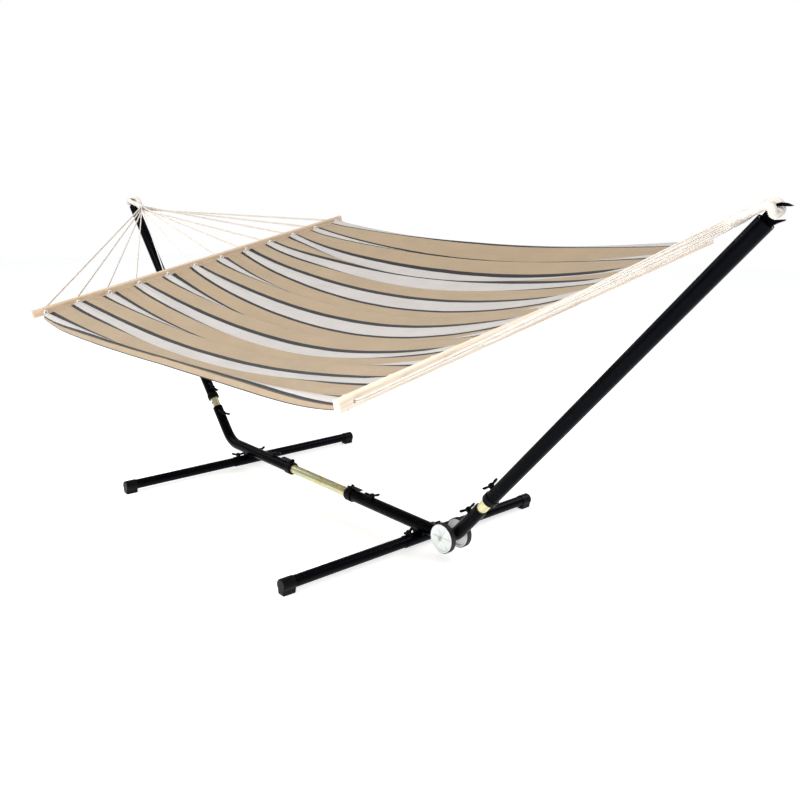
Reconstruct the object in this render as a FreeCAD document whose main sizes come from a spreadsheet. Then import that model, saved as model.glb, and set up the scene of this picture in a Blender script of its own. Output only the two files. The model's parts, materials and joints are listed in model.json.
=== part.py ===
"""Hammock with two spreader bars on a steel stand with two wheels.

Millimetres, +Z up, +X towards the end that carries the wheels (the "near" end). The origin is on
the ground under the middle of the stand. The far half of the stand is the near half turned half a
turn about Z. The hammock is drawn about the line through the two hooks and then rolled about it.
"""
import FreeCAD
import Part
import math
import os
import Sketcher
from FreeCAD import Placement, Rotation, Vector

SIZES = {
    # frame tubes
    "tube_outer": 42, "tube_wall": 1.6, "link_outer": 34, "link_wall": 1.5,
    "base_height": 69, "bend_place": 669, "bend_radius": 110, "post_angle": 49,
    "near_mouth": 147, "far_mouth": 201, "socket_end": 177, "post_start": 222, "post_end": 1305,
    "hook_reach": 1328, "link_start": 62, "link_end": 480,
    "centre_near_end": 380, "centre_far_end": 371, "adjust_pitch": 75, "adjust_bore": 9,
    "adjust_holes": 7, "adjust_first": -175, "link_pitch": 57, "link_holes": 5,
    "post_knob_place": 262, "socket_knob_place": 130, "base_knob_offset": 133,
    # cross feet
    "foot_outer": 36, "foot_wall": 1.5, "foot_height": 29, "foot_place": 527, "foot_reach": 542,
    "foot_inset": 14, "sleeve_outer": 40.6, "sleeve_wall": 1.8, "sleeve_half": 72,
    "foot_knob_place": 54, "cap_length": 42, "cap_floor": 5, "cap_rounding": 3,
    "cap_shoulder": 16.4, "cap_shoulder_height": 17.5, "cap_sole": 26,
    "cap_groove_length": 26, "cap_groove_tall": 2.4, "cap_groove_deep": 1,
    "saddle_length": 44, "saddle_width": 30, "saddle_low": 41, "saddle_tall": 14,
    # collars and latches at the mouths of the base tubes
    "collar_outer": 50, "collar_length": 34, "collar_overhang": 3, "collar_nose": 7,
    "ear_thick": 4, "ear_length": 12, "ear_sink": 2,
    "latch_width": 14, "latch_length": 58, "latch_thick": 3.5, "latch_pin": 4, "latch_rise": 28.5,
    # clamping knobs and the nuts welded under them
    "stud_diameter": 8, "stud_play": 1, "knob_hub": 20, "knob_hub_tall": 9, "knob_dome": 2,
    "knob_span": 54, "knob_wing": 7, "knob_wing_neck": 7, "knob_wing_low": 4, "knob_wing_tip": 11,
    "knob_tip_run": 9, "knob_edge": 1, "knob_lift": 5.5, "nut_outer": 17, "nut_tall": 5, "nut_sink": 2,
    # wheels
    "wheel_outer": 96, "wheel_rim": 90, "wheel_inner_face": 25, "wheel_width": 20,
    "wheel_boss": 22, "wheel_web": 4, "wheel_recess": 6, "wheel_bead": 3, "wheel_wall": 5,
    "wheel_bevel": 2, "wheel_ribs": 6, "rib_thick": 3, "rib_set_back": 2, "rib_root": 1,
    "tyre_width": 18, "tyre_inset": 1, "tyre_bevel": 2,
    "axle_diameter": 8, "axle_head": 15, "axle_head_tall": 5.3, "axle_nut_tall": 6.5,
    "axle_thread": 5, "axle_play": 0.5, "spacer_outer": 14,
    # hooks and post tops
    "hook_thick": 7, "bush_outer": 47.5, "bush_length": 20, "bush_lip": 3, "bush_bevel": 2,
    "plug_thick": 3, "plug_sink": 4, "plug_play": 0.2, "plug_bore": 1, "plug_slot": 10,
    "plug_slot_sink": 8,
    # hammock
    "roll_angle": 12.8, "bar_twist": 0.9, "bar_length": 1535, "bar_tall": 30, "bar_thick": 22, "bar_rounding": 6,
    "bar_drop": 250, "far_bar_place": 942, "near_bar_place": 998, "rope_holes": 12,
    "hole_pitch": 132, "hole_diameter": 10, "strand": 4, "strand_gap": 4.4, "strand_bend": 8,
    "strand_sink": 1, "bar_clear": 5,
    "bed_width": 1450, "bed_sag": 100, "bed_thick": 5, "bed_gap": 3,
    "eye_rope": 17, "eye_half": 18.5, "eye_bend": 14, "leg_length": 50, "leg_gap": 0.8,
    "throat_length": 36, "throat_overlap": 6, "throat_top_half": 19, "throat_top_rise": 11,
    "throat_end_half": 15, "throat_end_rise": 13, "throat_margin": 2.5, "fan_start": 13,
    # running clearances, and how far a clamping stud stops short of the wall's inner face
    "running": 0.05, "slip": 0.3, "stud_short": 0.1,
}

doc = FreeCAD.newDocument("hammock_on_stand")
sheet = doc.addObject("Spreadsheet::Sheet", "Sizes")
for row, (alias, number) in enumerate(SIZES.items(), start=1):
    sheet.set(f"A{row}", alias)
    sheet.set(f"B{row}", str(number))
    sheet.setAlias(f"B{row}", alias)
doc.recompute()

AXIS_X = Vector(1, 0, 0)
AXIS_Y = Vector(0, 1, 0)
AXIS_Z = Vector(0, 0, 1)
Z_TO_X = Rotation(AXIS_Y, 90)
Z_TO_Y = Rotation(AXIS_X, -90)
END_TURN = {"near": Placement(), "far": Placement(Vector(), Rotation(AXIS_Z, 180))}
ENDS = tuple(END_TURN)
SIDES = {"left": -1, "right": 1}

sub_parts = []


def size(alias):
    """A driving dimension, read from the sheet."""
    return float(sheet.get(alias))


def bind(obj, prop, expression):
    """Bind one property to the sheet; a bare word in the expression is a cell's alias."""
    words = sorted(SIZES, key=len, reverse=True)
    text = expression
    for position, word in enumerate(words):
        text = text.replace(word, f"<{position}>")
    for position, word in enumerate(words):
        text = text.replace(f"<{position}>", f"Sizes.{word}")
    obj.setExpression(prop, text)
    return text


def keep(obj, label):
    """Name a finished sub-part; its label is the name of its file."""
    obj.Label = label
    sub_parts.append(obj)
    return obj


# ---------------------------------------------------------------- sketches and bodies

def new_body(name):
    return doc.addObject("PartDesign::Body", f"{name}_body")


def new_sketch(body, role, name, offset=None):
    """A sketch on one of the body's own origin planes, moved along its normal by an expression."""
    sketch = body.newObject("Sketcher::SketchObject", name)
    plane = next(f for f in body.Origin.OriginFeatures if f.Role == role)
    sketch.AttachmentSupport = [(plane, "")]
    sketch.MapMode = "FlatFace"
    if offset:
        bind(sketch, ".AttachmentOffset.Base.z", offset)
    return sketch


def worth(sketch, expression):
    """The value that an expression of sheet words has now."""
    text = expression
    for word in sorted(SIZES, key=len, reverse=True):
        if word in text:
            text = text.replace(word, f"({size(word)})")
    return float(sketch.evalExpression(text))


def pin_point(sketch, geometry, end, across, up):
    """Fix a sketch point at two expressions, measured from the sketch's origin."""
    for kind, expression in (("DistanceX", across), ("DistanceY", up)):
        value = worth(sketch, expression)
        index = sketch.addConstraint(Sketcher.Constraint(kind, -1, 1, geometry, end, value))
        bind(sketch, f"Constraints[{index}]", expression)


def add_circle(sketch, radius, across="0", up="0"):
    centre = Vector(worth(sketch, across), worth(sketch, up), 0)
    index = sketch.addGeometry(Part.Circle(centre, AXIS_Z, worth(sketch, radius)), False)
    if (across, up) == ("0", "0"):
        sketch.addConstraint(Sketcher.Constraint("Coincident", index, 3, -1, 1))
    else:
        pin_point(sketch, index, 3, across, up)
    datum = sketch.addConstraint(Sketcher.Constraint("Radius", index, worth(sketch, radius)))
    bind(sketch, f"Constraints[{datum}]", radius)


def add_polygon(sketch, corners):
    """A closed outline of straight lines whose corners are pairs of expressions."""
    places = [Vector(worth(sketch, a), worth(sketch, b), 0) for a, b in corners]
    count = len(places)
    lines = [sketch.addGeometry(Part.LineSegment(places[i], places[(i + 1) % count]), False)
             for i in range(count)]
    for i, line in enumerate(lines):
        sketch.addConstraint(Sketcher.Constraint("Coincident", line, 2, lines[(i + 1) % count], 1))
    for line, (across, up) in zip(lines, corners):
        pin_point(sketch, line, 1, across, up)


def add_pad(body, sketch, length, symmetric=False, reverse=False):
    pad = body.newObject("PartDesign::Pad", f"{body.Name}_pad")
    pad.Profile = sketch
    pad.SideType = "Symmetric" if symmetric else "One side"
    pad.Reversed = reverse
    bind(pad, "Length", length)
    return pad


def add_turning(body, sketch):
    """Revolve a sketch of the XZ plane a whole turn about Z."""
    turning = body.newObject("PartDesign::Revolution", f"{body.Name}_turning")
    turning.Profile = sketch
    turning.ReferenceAxis = (sketch, ["V_Axis"])
    turning.Angle = 360
    return turning


def turned(label, corners, placement):
    """A body of revolution about its own Z; corners are (radius, height) expressions."""
    body = new_body(label)
    sketch = new_sketch(body, "XZ_Plane", f"{label}_section")
    add_polygon(sketch, corners)
    add_turning(body, sketch)
    body.Placement = placement
    return body


def straight_tube(label, outer, inner, length, placement):
    """A round tube along its own Z, with diameters and length as expressions."""
    body = new_body(label)
    sketch = new_sketch(body, "XY_Plane", f"{label}_ring")
    add_circle(sketch, f"({outer}) / 2")
    add_circle(sketch, f"({inner}) / 2")
    add_pad(body, sketch, length)
    body.Placement = placement
    return body


# ---------------------------------------------------------------- primitives and booleans

def rod(name, diameter, length, placement):
    """A Part cylinder along its own Z, with diameter and length as expressions."""
    cylinder = doc.addObject("Part::Cylinder", name)
    bind(cylinder, "Radius", f"({diameter}) / 2")
    bind(cylinder, "Height", length)
    cylinder.Placement = placement
    return cylinder


def block(name, length, width, height, placement):
    """A Part box centred on its own Z axis, standing on its own XY plane."""
    box = doc.addObject("Part::Box", name)
    bind(box, "Length", length)
    bind(box, "Width", width)
    bind(box, "Height", height)
    doc.recompute()
    box.Placement = placement * Placement(Vector(-box.Length / 2, -box.Width / 2, 0), Rotation())
    return box


def joined(name, pieces):
    fuse = doc.addObject("Part::MultiFuse", name)
    fuse.Shapes = pieces
    return fuse


def minus(name, base, tool):
    cut = doc.addObject("Part::Cut", name)
    cut.Base = base
    cut.Tool = tool
    return cut


def drilled(name, base, diameter, length, places):
    """The base with a round hole along Z of each placement."""
    tools = [rod(f"{name}_drill_{i}", diameter, length, place) for i, place in enumerate(places)]
    tool = tools[0] if len(tools) == 1 else joined(f"{name}_drills", tools)
    return minus(f"{name}_drilled", base, tool)


# ---------------------------------------------------------------- places on the stand

POST_DIRECTION = Vector(math.cos(math.radians(size("post_angle"))), 0,
                        math.sin(math.radians(size("post_angle"))))
BEND_POINT = Vector(size("bend_place"), 0, size("base_height"))
HOOK_POINT = BEND_POINT + POST_DIRECTION * size("hook_reach")
TUBE_RADIUS = size("tube_outer") / 2


def on_post(distance):
    """Local Z runs up the near post and local -X faces the middle of the stand."""
    tilt = Rotation(AXIS_Y, 90 - size("post_angle"))
    return Placement(BEND_POINT + POST_DIRECTION * distance, tilt)


def on_base(distance):
    """Local Z stands up from the top of the near base tube, local X along it."""
    return Placement(Vector(distance, 0, size("base_height") + TUBE_RADIUS), Rotation())


def on_post_surface(distance):
    """Local Z stands out of the inward face of the near post, local X along it."""
    outward = on_post(distance).multiply(Placement(Vector(-TUBE_RADIUS, 0, 0), Rotation()))
    return outward.multiply(Placement(Vector(), Rotation(AXIS_Y, -90)))


def on_sleeve(side):
    """Local Z stands up from the near cross sleeve, local X along it."""
    top = size("foot_height") + size("sleeve_outer") / 2
    place = Vector(size("foot_place"), SIDES[side] * size("foot_knob_place"), top)
    return Placement(place, Rotation(AXIS_Z, 90))


def across_base(distance, height=None):
    """Local Z runs along +Y from the middle of the near base tube."""
    level = size("base_height") if height is None else height
    return Placement(Vector(distance, 0, level), Z_TO_Y)


HALF_BEND = math.radians(size("post_angle") / 2)
ARC_START = size("bend_place") - size("bend_radius") * math.tan(HALF_BEND)
AXLE_X = ARC_START + size("bend_radius") * math.sin(HALF_BEND)
AXLE_Z = size("base_height") + size("bend_radius") * (1 - math.cos(HALF_BEND))


# ---------------------------------------------------------------- the two bent frame tubes

def bent_tube(end):
    """Base tube, bend and lower post socket, swept in one piece."""
    label = f"{end}_frame_tube"
    mouth = f"{end}_mouth"
    body = new_body(label)
    path = new_sketch(body, "XZ_Plane", f"{label}_path")
    angle = math.radians(size("post_angle"))
    arc_centre = Vector(ARC_START, size("base_height") + size("bend_radius"), 0)
    start = Vector(size(mouth), size("base_height"), 0)
    arc_in = Vector(ARC_START, size("base_height"), 0)
    arc_out = arc_centre + Vector(math.sin(angle), -math.cos(angle), 0) * size("bend_radius")
    finish = Vector(size("bend_place") + math.cos(angle) * size("socket_end"),
                    size("base_height") + math.sin(angle) * size("socket_end"), 0)
    circle = Part.Circle(arc_centre, AXIS_Z, size("bend_radius"))
    first = path.addGeometry(Part.LineSegment(start, arc_in), False)
    arc = path.addGeometry(
        Part.ArcOfCircle(circle, -math.pi / 2, -math.pi / 2 + angle), False)
    last = path.addGeometry(Part.LineSegment(arc_out, finish), False)
    path.addConstraint(Sketcher.Constraint("Horizontal", first))
    path.addConstraint(Sketcher.Constraint("Tangent", first, 2, arc, 1))
    path.addConstraint(Sketcher.Constraint("Tangent", arc, 2, last, 1))
    bend = path.addConstraint(Sketcher.Constraint("Radius", arc, size("bend_radius")))
    bind(path, f"Constraints[{bend}]", "bend_radius")
    slope = path.addConstraint(Sketcher.Constraint("Angle", last, angle))
    bind(path, f"Constraints[{slope}]", "post_angle * 1 deg")
    pin_point(path, first, 1, mouth, "base_height")
    pin_point(path, last, 2, "bend_place + cos(post_angle * 1 deg) * socket_end",
              "base_height + sin(post_angle * 1 deg) * socket_end")
    ring = new_sketch(body, "YZ_Plane", f"{label}_ring", offset=mouth)
    add_circle(ring, "tube_outer / 2", "0", "base_height")
    add_circle(ring, "tube_outer / 2 - tube_wall", "0", "base_height")
    pipe = body.newObject("PartDesign::AdditivePipe", f"{label}_pipe")
    pipe.Profile = ring
    pipe.Spine = path
    body.Placement = END_TURN[end]
    return body


def knob_places(end):
    """Where the clamping knobs of one half frame stand, by name."""
    return {
        "base_knob": on_base(size(f"{end}_mouth") + size("base_knob_offset")),
        "socket_knob": on_post_surface(size("socket_knob_place")),
    }


for end in ENDS:
    turn = END_TURN[end]
    tube = bent_tube(end)
    inward = Placement(Vector(0, 0, -size("nut_tall")), Rotation())
    stud_holes = [turn * place * inward for place in knob_places(end).values()]
    frame_tube = drilled(f"{end}_studs", tube, "stud_diameter + stud_play", "nut_tall * 2",
                         stud_holes)
    if end == "near":
        beside = Placement(Vector(0, 0, -TUBE_RADIUS * 2), Rotation())
        frame_tube = drilled("near_axle", frame_tube, "axle_diameter + axle_play",
                             "tube_outer * 2", [across_base(AXLE_X, AXLE_Z) * beside])
    keep(frame_tube, f"{end}_frame_tube")


# ---------------------------------------------------------------- the telescoping inner tubes

centre = straight_tube("centre_tube", "link_outer", "link_outer - link_wall * 2",
                       "centre_near_end + centre_far_end",
                       Placement(Vector(-size("centre_far_end"), 0, size("base_height")), Z_TO_X))
adjust_holes = [Placement(Vector(size("adjust_first") + i * size("adjust_pitch"), 0, 0), Rotation())
                for i in range(int(size("adjust_holes")))]
keep(drilled("centre_tube", centre, "adjust_bore", "base_height * 2", adjust_holes), "centre_tube")

# how far the first hole of a post link lies above the middle of the bare part, in hole pitches
LINK_PHASE = {"near": 0.5, "far": 0}

for end in ENDS:
    turn = END_TURN[end]
    link = straight_tube(f"{end}_post_link", "link_outer", "link_outer - link_wall * 2",
                         "link_end - link_start", turn * on_post(size("link_start")))
    first_hole = (size("socket_end") + size("post_start")) / 2 + LINK_PHASE[end] * size("link_pitch")
    link_holes = []
    for i in range(int(size("link_holes"))):
        along = on_post(first_hole + i * size("link_pitch"))
        link_holes.append(turn * along * Placement(Vector(0, -TUBE_RADIUS * 2, 0), Z_TO_Y))
    keep(drilled(f"{end}_link", link, "adjust_bore", "tube_outer * 2", link_holes),
         f"{end}_post_link")


# ---------------------------------------------------------------- upper posts, bushes and hooks

# From the tail inside the post, up the back of the neck, round the upper jaw, down the throat,
# round the lower lip and back to the tail; measured from the seat of the rope eye.
HOOK_OUTLINE = (
    (-52.6, -37.8), (-26.4, -7.6), (-17, 4), (-13, 10), (-3, 16.5), (11, 21), (24, 19.5),
    (36, 14.5), (30, 12.8), (15, 13.2), (2, 13), (-3.5, 9), (-4.5, -8), (-1.5, -14), (23, -12.5),
    (22, -15.5), (8, -21), (-3.8, -27.2), (-30, -57.4),
)


def hook_plate(end):
    """Steel plate that opens outwards; its tail stands in the slotted top of the post."""
    label = f"{end}_hook"
    body = new_body(label)
    sketch = new_sketch(body, "XZ_Plane", f"{label}_outline")
    reach = "bend_place + cos(post_angle * 1 deg) * hook_reach"
    rise = "base_height + sin(post_angle * 1 deg) * hook_reach"
    add_polygon(sketch, [(f"{reach} + {across}", f"{rise} + {up}") for across, up in HOOK_OUTLINE])
    add_pad(body, sketch, "hook_thick", symmetric=True)
    body.Placement = END_TURN[end]
    return body


for end in ENDS:
    turn = END_TURN[end]
    post = straight_tube(f"{end}_post", "tube_outer", "tube_outer - tube_wall * 2",
                         "post_end - post_start", turn * on_post(size("post_start")))
    stud_hole = turn * on_post_surface(size("post_knob_place"))
    stud_hole = stud_hole * Placement(Vector(0, 0, -size("nut_tall")), Rotation())
    keep(drilled(f"{end}_post", post, "stud_diameter + stud_play", "nut_tall * 2", [stud_hole]),
         f"{end}_post")
    keep(hook_plate(end), f"{end}_hook")
    plug = straight_tube(f"{end}_post_plug", "tube_outer - tube_wall * 2 - plug_play", "plug_bore",
                         "plug_thick", turn * on_post(size("post_end") - size("plug_sink")))
    slot = block(f"{end}_plug_slot", "tube_outer", "hook_thick + plug_play", "plug_slot",
                 turn * on_post(size("post_end") - size("plug_slot_sink")))
    keep(minus(f"{end}_plug_slotted", plug, slot), f"{end}_post_cap")
    bush = turned(f"{end}_post_bush", [
        ("link_outer / 2 + slip", "-bush_lip"), ("bush_outer / 2 - bush_bevel", "-bush_lip"),
        ("bush_outer / 2", "0"), ("bush_outer / 2", "bush_length - bush_bevel"),
        ("bush_outer / 2 - bush_bevel / 2", "bush_length"),
        ("tube_outer / 2 + running", "bush_length"), ("tube_outer / 2 + running", "0"),
        ("link_outer / 2 + slip", "0"),
    ], turn * on_post(size("post_start")))
    keep(bush, f"{end}_post_bush")


# ---------------------------------------------------------------- collars and their latches

def latch_place(end):
    """The latch's pin: local X along the base tube and away from its mouth, local Y across."""
    rise = size("base_height") + size("latch_rise")
    along = size(f"{end}_mouth") - size("collar_overhang") + size("collar_length") / 2
    return END_TURN[end] * Placement(Vector(along, 0, rise), Rotation())


def collar(end):
    """Moulded collar over the mouth of a base tube, with two ears for the latch pin."""
    label = f"{end}_collar"
    mouth = Placement(Vector(size(f"{end}_mouth") - size("collar_overhang"), 0,
                             size("base_height")), Z_TO_X)
    ring = turned(label, [
        ("link_outer / 2 + slip", "0"), ("collar_outer / 2 - collar_nose * 3 / 4", "0"),
        ("collar_outer / 2 - collar_nose / 4", "collar_nose / 3"),
        ("collar_outer / 2", "collar_nose"), ("collar_outer / 2", "collar_length"),
        ("tube_outer / 2 + running", "collar_length"), ("tube_outer / 2 + running", "collar_overhang"),
        ("link_outer / 2 + slip", "collar_overhang"),
    ], END_TURN[end] * mouth)
    pieces = [ring]
    ear_middle = size("latch_width") / 2 + size("slip") + size("ear_thick") / 2
    for side, sign in SIDES.items():
        foot_rise = TUBE_RADIUS + size("ear_sink") - size("latch_rise")
        foot = Placement(Vector(0, sign * ear_middle, foot_rise), Rotation())
        pieces.append(block(f"{label}_{side}_ear", "ear_length", "ear_thick",
                            "latch_rise - tube_outer / 2 + ear_sink * 3 / 2",
                            latch_place(end) * foot))
    pin_line = latch_place(end) * Placement(Vector(0, -size("collar_outer") / 2, 0), Z_TO_Y)
    return drilled(label, joined(f"{label}_whole", pieces), "latch_pin + running * 2",
                   "collar_outer", [pin_line])


def latch(end):
    """Flat lever on a cross pin; it lies along the tube when it is closed."""
    label = f"{end}_latch"
    place = latch_place(end)
    ears_wide = size("latch_width") + 2 * (size("slip") + size("ear_thick"))
    pin = rod(f"{label}_pin", "latch_pin", "latch_width + 2 * (slip + ear_thick)",
              place * Placement(Vector(0, -ears_wide / 2, 0), Z_TO_Y))
    barrel = rod(f"{label}_barrel", "latch_pin * 1.6", "latch_width",
                 place * Placement(Vector(0, -size("latch_width") / 2, 0), Z_TO_Y))
    tongue = block(f"{label}_tongue", "latch_length", "latch_width", "latch_thick",
                   place * Placement(Vector(size("latch_length") / 2, 0, -size("latch_thick") / 2 + 1),
                                     Rotation()))
    return joined(label, [pin, barrel, tongue])


for end in ENDS:
    keep(collar(end), f"{end}_collar")
    keep(latch(end), f"{end}_latch")


# ---------------------------------------------------------------- clamping knobs, welded nuts

def wing_knob(label, place, reach):
    """Stud, domed hub and a pair of upswept wings; local Z points out of the tube at its surface."""
    bottom = Placement(Vector(0, 0, -reach), Rotation())
    stud = rod(f"{label}_stud", "stud_diameter", f"knob_lift + knob_hub_tall / 2 + {reach}",
               place * bottom)
    lifted = place * Placement(Vector(0, 0, size("knob_lift")), Rotation())
    hub = turned(f"{label}_hub", [
        ("0", "0"), ("knob_hub / 2", "0"), ("knob_hub / 2 - knob_dome", "knob_hub_tall - knob_dome"),
        ("knob_hub / 2 - knob_dome * 2", "knob_hub_tall"), ("0", "knob_hub_tall"),
    ], lifted)
    wings = new_body(f"{label}_wings")
    outline = new_sketch(wings, "XZ_Plane", f"{label}_wing_outline")
    half = [("knob_span / 2 - knob_tip_run / 3", "knob_wing_low"),
            ("knob_span / 2", "knob_wing_low * 2"),
            ("knob_span / 2 - knob_edge", "knob_wing_tip"),
            ("knob_span / 2 - knob_tip_run", "knob_wing_tip - knob_edge"),
            ("knob_hub / 2", "knob_wing_neck")]
    root = [("knob_hub / 2 - knob_edge", "knob_edge"), *half]
    mirrored = [(f"0 - ({across})", up) for across, up in reversed(root)]
    add_polygon(outline, [("0", "knob_edge"), *root, ("0", "knob_wing_neck"), *mirrored])
    add_pad(wings, outline, "knob_wing", symmetric=True)
    wings.Placement = lifted
    return joined(label, [stud, hub, wings])


def weld_nut(label, place, tube_diameter):
    """Round nut whose underside fits the tube that it is welded to; the tube is along local X."""
    bottom = place * Placement(Vector(0, 0, -size("nut_sink")), Rotation())
    ring = rod(f"{label}_ring", "nut_outer", "nut_tall + nut_sink", bottom)
    bore = rod(f"{label}_bore", "stud_diameter + running * 2", "nut_tall + nut_sink", bottom)
    tube_line = Placement(Vector(-size("nut_outer"), 0, -size(tube_diameter) / 2), Z_TO_X)
    seat = rod(f"{label}_seat", f"{tube_diameter} + running * 2", "nut_outer * 2",
               place * tube_line)
    return minus(label, ring, joined(f"{label}_tools", [bore, seat]))


TUBE_REACH = size("tube_wall") - size("stud_short")
SLEEVE_REACH = size("sleeve_wall") - size("stud_short")

# where each knob's wings stand, in degrees about its stud, measured from the tube's direction
KNOB_TURN = {"base_knob": 34, "socket_knob": 58, "post_knob": 28, "left": 20, "right": -25}


def wings_at(name):
    return Placement(Vector(), Rotation(AXIS_Z, KNOB_TURN[name]))


for end in ENDS:
    turn = END_TURN[end]
    nuts = []
    for name, place in knob_places(end).items():
        keep(wing_knob(f"{end}_{name}", turn * place * wings_at(name), TUBE_REACH),
             f"{end}_{name}")
        nuts.append(weld_nut(f"{end}_{name}_nut", turn * place, "tube_outer"))
    for side in SIDES:
        place = turn * on_sleeve(side)
        keep(wing_knob(f"{end}_{side}_foot_knob", place * wings_at(side), SLEEVE_REACH),
             f"{end}_{side}_foot_knob")
        nuts.append(weld_nut(f"{end}_{side}_foot_nut", place, "sleeve_outer"))
    group = doc.addObject("Part::Compound", f"{end}_frame_nuts")
    group.Links = nuts
    keep(group, f"{end}_frame_nuts")
    post_place = turn * on_post_surface(size("post_knob_place"))
    keep(wing_knob(f"{end}_post_knob", post_place * wings_at("post_knob"), TUBE_REACH),
         f"{end}_post_knob")
    keep(weld_nut(f"{end}_post_nut", post_place, "tube_outer"), f"{end}_post_nut")


# ---------------------------------------------------------------- cross feet

def end_cap(label, placement):
    """Moulded cap: a round cup that narrows to a flat sole; it runs from local Y = 0 towards -Y."""
    body = new_body(label)
    outline = new_sketch(body, "XZ_Plane", f"{label}_outline")
    dip = size("foot_height") - size("cap_shoulder_height")
    radius = math.hypot(size("cap_shoulder"), dip)
    centre_point = Vector(0, size("foot_height"), 0)
    start = -math.asin(dip / radius)
    arc = outline.addGeometry(
        Part.ArcOfCircle(Part.Circle(centre_point, AXIS_Z, radius), start, math.pi - start), False)
    shoulders = [Vector(sign * size("cap_shoulder"), size("cap_shoulder_height"), 0) for sign in (-1, 1)]
    soles = [Vector(sign * size("cap_sole") / 2, 0, 0) for sign in (-1, 1)]
    corners = [shoulders[0], soles[0], soles[1], shoulders[1]]
    lines = [outline.addGeometry(Part.LineSegment(a, b), False)
             for a, b in zip(corners, corners[1:])]
    outline.addConstraint(Sketcher.Constraint("Coincident", arc, 2, lines[0], 1))
    outline.addConstraint(Sketcher.Constraint("Coincident", lines[0], 2, lines[1], 1))
    outline.addConstraint(Sketcher.Constraint("Coincident", lines[1], 2, lines[2], 1))
    outline.addConstraint(Sketcher.Constraint("Coincident", lines[2], 2, arc, 1))
    pin_point(outline, arc, 1, "cap_shoulder", "cap_shoulder_height")
    pin_point(outline, arc, 2, "-cap_shoulder", "cap_shoulder_height")
    pin_point(outline, lines[1], 1, "-cap_sole / 2", "0")
    pin_point(outline, lines[1], 2, "cap_sole / 2", "0")
    level = outline.addConstraint(
        Sketcher.Constraint("DistanceY", -1, 1, arc, 3, size("foot_height")))
    bind(outline, f"Constraints[{level}]", "foot_height")
    pad = add_pad(body, outline, "cap_length")
    doc.recompute()
    bore = new_sketch(body, "XZ_Plane", f"{label}_bore")
    add_circle(bore, "foot_outer / 2 + running", "0", "foot_height")
    pocket = body.newObject("PartDesign::Pocket", f"{label}_pocket")
    pocket.Profile = bore
    pocket.Reversed = True
    bind(pocket, "Length", "cap_length - cap_floor")
    doc.recompute()
    if pocket.Shape.Volume > pad.Shape.Volume / 2:
        raise RuntimeError(f"the bore of {label} points away from the cap")
    tolerance = size("running")
    outer_edges = [f"Edge{i}" for i, edge in enumerate(pocket.Shape.Edges, start=1)
                   if abs(edge.BoundBox.YMax + size("cap_length")) < tolerance]
    rounding = body.newObject("PartDesign::Fillet", f"{label}_rounding")
    rounding.Base = (pocket, outer_edges)
    bind(rounding, "Radius", "cap_rounding")
    body.Placement = placement
    grooves = []
    for side, sign in SIDES.items():
        beside = Vector(sign * radius, -size("cap_length") / 2, size("foot_height"))
        grooves.append(block(f"{label}_{side}_groove", "cap_groove_deep * 2", "cap_groove_length",
                             "cap_groove_tall", placement * Placement(beside, Rotation())))
    return minus(f"{label}_grooved", body, joined(f"{label}_grooves", grooves))


for end in ENDS:
    turn = END_TURN[end]
    sleeve_start = Vector(size("foot_place"), -size("sleeve_half"), size("foot_height"))
    sleeve = straight_tube(f"{end}_cross_sleeve", "sleeve_outer", "sleeve_outer - sleeve_wall * 2",
                           "sleeve_half * 2", turn * Placement(sleeve_start, Z_TO_Y))
    below = Placement(Vector(0, 0, -size("nut_tall")), Rotation())
    sleeve = drilled(f"{end}_sleeve", sleeve, "stud_diameter + stud_play", "nut_tall * 2",
                     [turn * on_sleeve(side) * below for side in SIDES])
    sleeve_line = Placement(sleeve_start, Z_TO_Y)
    tube_line = Placement(Vector(size("foot_place") - size("saddle_length"), 0,
                                 size("base_height")), Z_TO_X)
    notch = rod(f"{end}_sleeve_notch", "tube_outer + running * 2", "saddle_length * 2",
                turn * tube_line)
    keep(minus(f"{end}_sleeve_notched", sleeve, notch), f"{end}_cross_sleeve")
    saddle = block(f"{end}_saddle_block", "saddle_length", "saddle_width", "saddle_tall",
                   turn * Placement(Vector(size("foot_place"), 0, size("saddle_low")), Rotation()))
    seats = joined(f"{end}_saddle_seats", [
        rod(f"{end}_saddle_sleeve_seat", "sleeve_outer + running * 2", "sleeve_half * 2",
            turn * sleeve_line),
        rod(f"{end}_saddle_tube_seat", "tube_outer + running * 2", "saddle_length * 2",
            turn * tube_line),
    ])
    keep(minus(f"{end}_saddle", saddle, seats), f"{end}_saddle")
    for side, sign in SIDES.items():
        facing = Placement() if sign < 0 else Placement(Vector(), Rotation(AXIS_Z, 180))
        tube_start = Vector(0, size("foot_inset"), size("foot_height"))
        outwards = Placement(Vector(size("foot_place"), 0, 0), Rotation())
        leg_turn = Placement(Vector(), Rotation(AXIS_Z, 180)) if sign < 0 else Placement()
        keep(straight_tube(f"{end}_{side}_foot", "foot_outer", "foot_outer - foot_wall * 2",
                           "foot_reach - foot_inset - cap_floor - slip",
                           turn * outwards * leg_turn * Placement(tube_start, Z_TO_Y)),
             f"{end}_{side}_foot")
        cap_start = size("foot_reach") - size("cap_length")
        keep(end_cap(f"{end}_{side}_end_cap",
                     turn * Placement(Vector(size("foot_place"), sign * cap_start, 0), Rotation())
                     * facing), f"{end}_{side}_end_cap")


# ---------------------------------------------------------------- wheels on the near bend

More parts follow.
